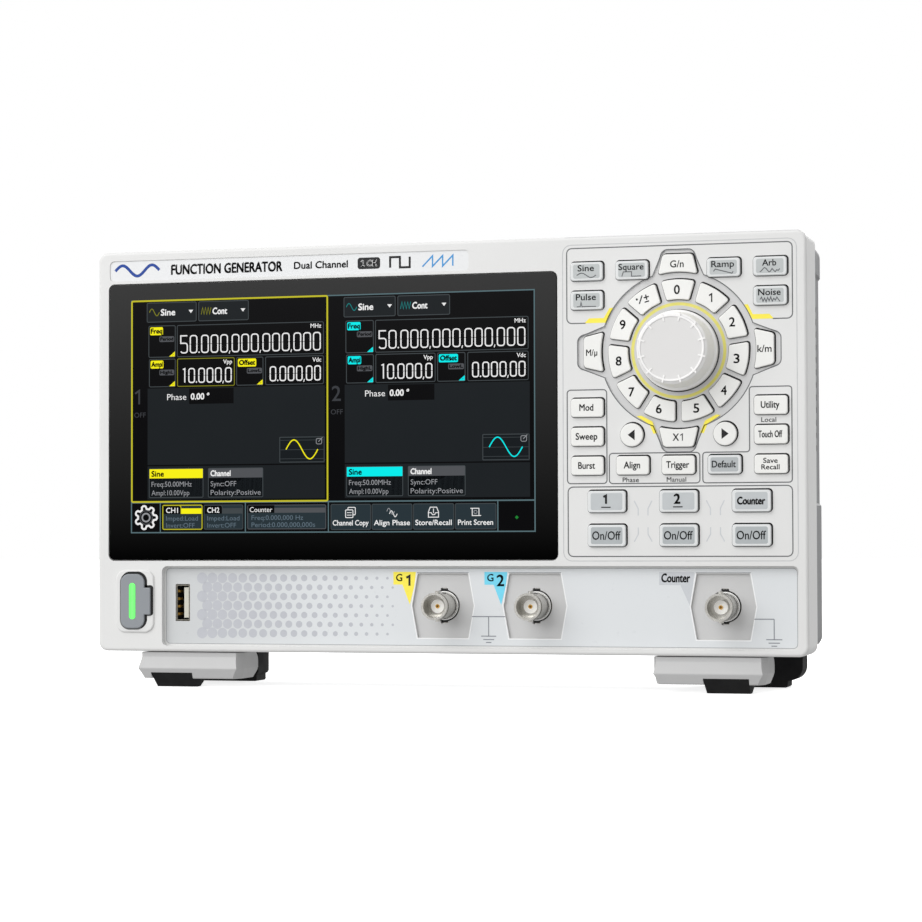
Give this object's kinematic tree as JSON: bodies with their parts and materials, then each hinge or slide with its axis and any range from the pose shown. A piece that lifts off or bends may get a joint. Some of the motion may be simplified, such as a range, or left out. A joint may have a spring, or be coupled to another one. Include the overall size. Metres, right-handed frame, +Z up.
{
  "type": "function generator",
  "caption": "Bench function generator: wide shallow case with a large display, a ringed keypad round a push knob, bayonet sockets and fold-out tilt legs.",
  "frame": {"origin": "on the bench, under the middle of the overall footprint", "axes": "+X to the right seen from the front, +Y from the front face to the back, +Z up"},
  "size_m": [0.2654, 0.0772, 0.1618],
  "materials": {
    "light_housing": "fine satin texture, warm light grey",
    "dark_housing": "fine texture, dark grey",
    "display_glass": "gloss black printed border",
    "lcd_frame": "sheet metal frame",
    "circuit_board": "green solder mask",
    "encoder_case": "moulded black",
    "encoder_disc": "plain",
    "shaft_metal": "turned",
    "knob_plastic": "satin light grey",
    "socket_metal": "nickel plate",
    "contact_gold": "gold plate",
    "insulator_plastic": "white",
    "port_metal": "tinned sheet",
    "foot_rubber": "matt black",
    "screw_steel": "dark zinc",
    "power_plastic": "satin mid grey",
    "light_pipe": "lit green",
    "leg_plastic": "satin light grey",
    "white_key": "smooth satin white",
    "grey_key": "smooth satin grey"
  },
  "bodies": {
    "housing": {"front_housing": "light_housing", "rear_cover": "dark_housing", "display_glass": "display_glass", "lcd_module": "lcd_frame", "switch_boards": "circuit_board", "main_board": "circuit_board", "encoder_body": "encoder_case", "bnc_shells": "socket_metal", "bnc_contacts": "contact_gold", "socket_insulators": "insulator_plastic", "port_shells": "port_metal", "rear_feet": "foot_rubber", "case_screws": "screw_steel"},
    "encoder_rotor": {"encoder_rotor": "encoder_disc"},
    "knob": {"knob_cap": "knob_plastic", "encoder_shaft": "shaft_metal"},
    "power_button": {"power_button": "power_plastic", "power_light": "light_pipe"},
    "leg_left": {"leg_left": "leg_plastic", "leg_pad_left": "foot_rubber"},
    "leg_right": {"leg_right": "leg_plastic", "leg_pad_right": "foot_rubber"},
    "key_sine": {"key_sine": "grey_key"},
    "key_square": {"key_square": "grey_key"},
    "key_ramp": {"key_ramp": "grey_key"},
    "key_arb": {"key_arb": "grey_key"},
    "key_pulse": {"key_pulse": "grey_key"},
    "key_noise": {"key_noise": "grey_key"},
    "key_mod": {"key_mod": "white_key"},
    "key_sweep": {"key_sweep": "white_key"},
    "key_burst": {"key_burst": "white_key"},
    "key_align": {"key_align": "white_key"},
    "key_trigger": {"key_trigger": "white_key"},
    "key_default": {"key_default": "grey_key"},
    "key_utility": {"key_utility": "white_key"},
    "key_touch_off": {"key_touch_off": "white_key"},
    "key_save_recall": {"key_save_recall": "white_key"},
    "key_channel_1": {"key_channel_1": "grey_key"},
    "key_channel_2": {"key_channel_2": "grey_key"},
    "key_counter": {"key_counter": "grey_key"},
    "key_output_1": {"key_output_1": "grey_key"},
    "key_output_2": {"key_output_2": "grey_key"},
    "key_output_counter": {"key_output_counter": "grey_key"},
    "key_0": {"key_0": "white_key"},
    "key_1": {"key_1": "white_key"},
    "key_2": {"key_2": "white_key"},
    "key_3": {"key_3": "white_key"},
    "key_4": {"key_4": "white_key"},
    "key_5": {"key_5": "white_key"},
    "key_6": {"key_6": "white_key"},
    "key_7": {"key_7": "white_key"},
    "key_8": {"key_8": "white_key"},
    "key_9": {"key_9": "white_key"},
    "key_point_sign": {"key_point_sign": "white_key"},
    "key_g_n": {"key_g_n": "white_key"},
    "key_k_m": {"key_k_m": "white_key"},
    "key_x1": {"key_x1": "white_key"},
    "key_m_u": {"key_m_u": "white_key"},
    "key_left": {"key_left": "white_key"},
    "key_right": {"key_right": "white_key"}
  },
  "joints": [
    {"name": "leg_left_flip", "type": "hinge", "parent": "housing", "child": "leg_left", "pos_m": [-0.09715, -0.0088, 0.00875], "axis": [1, 0, 0], "range_deg": [0, 78]},
    {"name": "leg_right_flip", "type": "hinge", "parent": "housing", "child": "leg_right", "pos_m": [0.09715, -0.0088, 0.00875], "axis": [1, 0, 0], "range_deg": [0, 78]},
    {"name": "power_button_press", "type": "slide", "parent": "housing", "child": "power_button", "axis": [0, 1, 0], "range_m": [0, 0.0008], "stiffness_N_per_m": 1200, "springref_m": -0.0008},
    {"name": "knob_turn", "type": "hinge", "parent": "housing", "child": "encoder_rotor", "pos_m": [0.08735, -0.015, 0.12045], "axis": [0, 1, 0], "continuous": true},
    {"name": "knob_press", "type": "slide", "parent": "encoder_rotor", "child": "knob", "axis": [0, 1, 0], "range_m": [0, 0.0005], "stiffness_N_per_m": 4000, "springref_m": -0.0006},
    {"name": "key_sine_press", "type": "slide", "parent": "housing", "child": "key_sine", "axis": [0, 1, 0], "range_m": [0, 0.0008], "stiffness_N_per_m": 900, "springref_m": -0.0006},
    {"name": "key_square_press", "type": "slide", "parent": "housing", "child": "key_square", "axis": [0, 1, 0], "range_m": [0, 0.0008], "stiffness_N_per_m": 900, "springref_m": -0.0006},
    {"name": "key_ramp_press", "type": "slide", "parent": "housing", "child": "key_ramp", "axis": [0, 1, 0], "range_m": [0, 0.0008], "stiffness_N_per_m": 900, "springref_m": -0.0006},
    {"name": "key_arb_press", "type": "slide", "parent": "housing", "child": "key_arb", "axis": [0, 1, 0], "range_m": [0, 0.0008], "stiffness_N_per_m": 900, "springref_m": -0.0006},
    {"name": "key_pulse_press", "type": "slide", "parent": "housing", "child": "key_pulse", "axis": [0, 1, 0], "range_m": [0, 0.0008], "stiffness_N_per_m": 900, "springref_m": -0.0006},
    {"name": "key_noise_press", "type": "slide", "parent": "housing", "child": "key_noise", "axis": [0, 1, 0], "range_m": [0, 0.0008], "stiffness_N_per_m": 900, "springref_m": -0.0006},
    {"name": "key_mod_press", "type": "slide", "parent": "housing", "child": "key_mod", "axis": [0, 1, 0], "range_m": [0, 0.0008], "stiffness_N_per_m": 900, "springref_m": -0.0006},
    {"name": "key_sweep_press", "type": "slide", "parent": "housing", "child": "key_sweep", "axis": [0, 1, 0], "range_m": [0, 0.0008], "stiffness_N_per_m": 900, "springref_m": -0.0006},
    {"name": "key_burst_press", "type": "slide", "parent": "housing", "child": "key_burst", "axis": [0, 1, 0], "range_m": [0, 0.0008], "stiffness_N_per_m": 900, "springref_m": -0.0006},
    {"name": "key_align_press", "type": "slide", "parent": "housing", "child": "key_align", "axis": [0, 1, 0], "range_m": [0, 0.0008], "stiffness_N_per_m": 900, "springref_m": -0.0006},
    {"name": "key_trigger_press", "type": "slide", "parent": "housing", "child": "key_trigger", "axis": [0, 1, 0], "range_m": [0, 0.0008], "stiffness_N_per_m": 900, "springref_m": -0.0006},
    {"name": "key_default_press", "type": "slide", "parent": "housing", "child": "key_default", "axis": [0, 1, 0], "range_m": [0, 0.0008], "stiffness_N_per_m": 900, "springref_m": -0.0006},
    {"name": "key_utility_press", "type": "slide", "parent": "housing", "child": "key_utility", "axis": [0, 1, 0], "range_m": [0, 0.0008], "stiffness_N_per_m": 900, "springref_m": -0.0006},
    {"name": "key_touch_off_press", "type": "slide", "parent": "housing", "child": "key_touch_off", "axis": [0, 1, 0], "range_m": [0, 0.0008], "stiffness_N_per_m": 900, "springref_m": -0.0006},
    {"name": "key_save_recall_press", "type": "slide", "parent": "housing", "child": "key_save_recall", "axis": [0, 1, 0], "range_m": [0, 0.0008], "stiffness_N_per_m": 900, "springref_m": -0.0006},
    {"name": "key_channel_1_press", "type": "slide", "parent": "housing", "child": "key_channel_1", "axis": [0, 1, 0], "range_m": [0, 0.0008], "stiffness_N_per_m": 900, "springref_m": -0.0006},
    {"name": "key_channel_2_press", "type": "slide", "parent": "housing", "child": "key_channel_2", "axis": [0, 1, 0], "range_m": [0, 0.0008], "stiffness_N_per_m": 900, "springref_m": -0.0006},
    {"name": "key_counter_press", "type": "slide", "parent": "housing", "child": "key_counter", "axis": [0, 1, 0], "range_m": [0, 0.0008], "stiffness_N_per_m": 900, "springref_m": -0.0006},
    {"name": "key_output_1_press", "type": "slide", "parent": "housing", "child": "key_output_1", "axis": [0, 1, 0], "range_m": [0, 0.0008], "stiffness_N_per_m": 900, "springref_m": -0.0006},
    {"name": "key_output_2_press", "type": "slide", "parent": "housing", "child": "key_output_2", "axis": [0, 1, 0], "range_m": [0, 0.0008], "stiffness_N_per_m": 900, "springref_m": -0.0006},
    {"name": "key_output_counter_press", "type": "slide", "parent": "housing", "child": "key_output_counter", "axis": [0, 1, 0], "range_m": [0, 0.0008], "stiffness_N_per_m": 900, "springref_m": -0.0006},
    {"name": "key_0_press", "type": "slide", "parent": "housing", "child": "key_0", "axis": [0, 1, 0], "range_m": [0, 0.0008], "stiffness_N_per_m": 900, "springref_m": -0.0006},
    {"name": "key_1_press", "type": "slide", "parent": "housing", "child": "key_1", "axis": [0, 1, 0], "range_m": [0, 0.0008], "stiffness_N_per_m": 900, "springref_m": -0.0006},
    {"name": "key_2_press", "type": "slide", "parent": "housing", "child": "key_2", "axis": [0, 1, 0], "range_m": [0, 0.0008], "stiffness_N_per_m": 900, "springref_m": -0.0006},
    {"name": "key_3_press", "type": "slide", "parent": "housing", "child": "key_3", "axis": [0, 1, 0], "range_m": [0, 0.0008], "stiffness_N_per_m": 900, "springref_m": -0.0006},
    {"name": "key_4_press", "type": "slide", "parent": "housing", "child": "key_4", "axis": [0, 1, 0], "range_m": [0, 0.0008], "stiffness_N_per_m": 900, "springref_m": -0.0006},
    {"name": "key_5_press", "type": "slide", "parent": "housing", "child": "key_5", "axis": [0, 1, 0], "range_m": [0, 0.0008], "stiffness_N_per_m": 900, "springref_m": -0.0006},
    {"name": "key_6_press", "type": "slide", "parent": "housing", "child": "key_6", "axis": [0, 1, 0], "range_m": [0, 0.0008], "stiffness_N_per_m": 900, "springref_m": -0.0006},
    {"name": "key_7_press", "type": "slide", "parent": "housing", "child": "key_7", "axis": [0, 1, 0], "range_m": [0, 0.0008], "stiffness_N_per_m": 900, "springref_m": -0.0006},
    {"name": "key_8_press", "type": "slide", "parent": "housing", "child": "key_8", "axis": [0, 1, 0], "range_m": [0, 0.0008], "stiffness_N_per_m": 900, "springref_m": -0.0006},
    {"name": "key_9_press", "type": "slide", "parent": "housing", "child": "key_9", "axis": [0, 1, 0], "range_m": [0, 0.0008], "stiffness_N_per_m": 900, "springref_m": -0.0006},
    {"name": "key_point_sign_press", "type": "slide", "parent": "housing", "child": "key_point_sign", "axis": [0, 1, 0], "range_m": [0, 0.0008], "stiffness_N_per_m": 900, "springref_m": -0.0006},
    {"name": "key_g_n_press", "type": "slide", "parent": "housing", "child": "key_g_n", "axis": [0, 1, 0], "range_m": [0, 0.0008], "stiffness_N_per_m": 900, "springref_m": -0.0006},
    {"name": "key_k_m_press", "type": "slide", "parent": "housing", "child": "key_k_m", "axis": [0, 1, 0], "range_m": [0, 0.0008], "stiffness_N_per_m": 900, "springref_m": -0.0006},
    {"name": "key_x1_press", "type": "slide", "parent": "housing", "child": "key_x1", "axis": [0, 1, 0], "range_m": [0, 0.0008], "stiffness_N_per_m": 900, "springref_m": -0.0006},
    {"name": "key_m_u_press", "type": "slide", "parent": "housing", "child": "key_m_u", "axis": [0, 1, 0], "range_m": [0, 0.0008], "stiffness_N_per_m": 900, "springref_m": -0.0006},
    {"name": "key_left_press", "type": "slide", "parent": "housing", "child": "key_left", "axis": [0, 1, 0], "range_m": [0, 0.0008], "stiffness_N_per_m": 900, "springref_m": -0.0006},
    {"name": "key_right_press", "type": "slide", "parent": "housing", "child": "key_right", "axis": [0, 1, 0], "range_m": [0, 0.0008], "stiffness_N_per_m": 900, "springref_m": -0.0006}
  ]
}
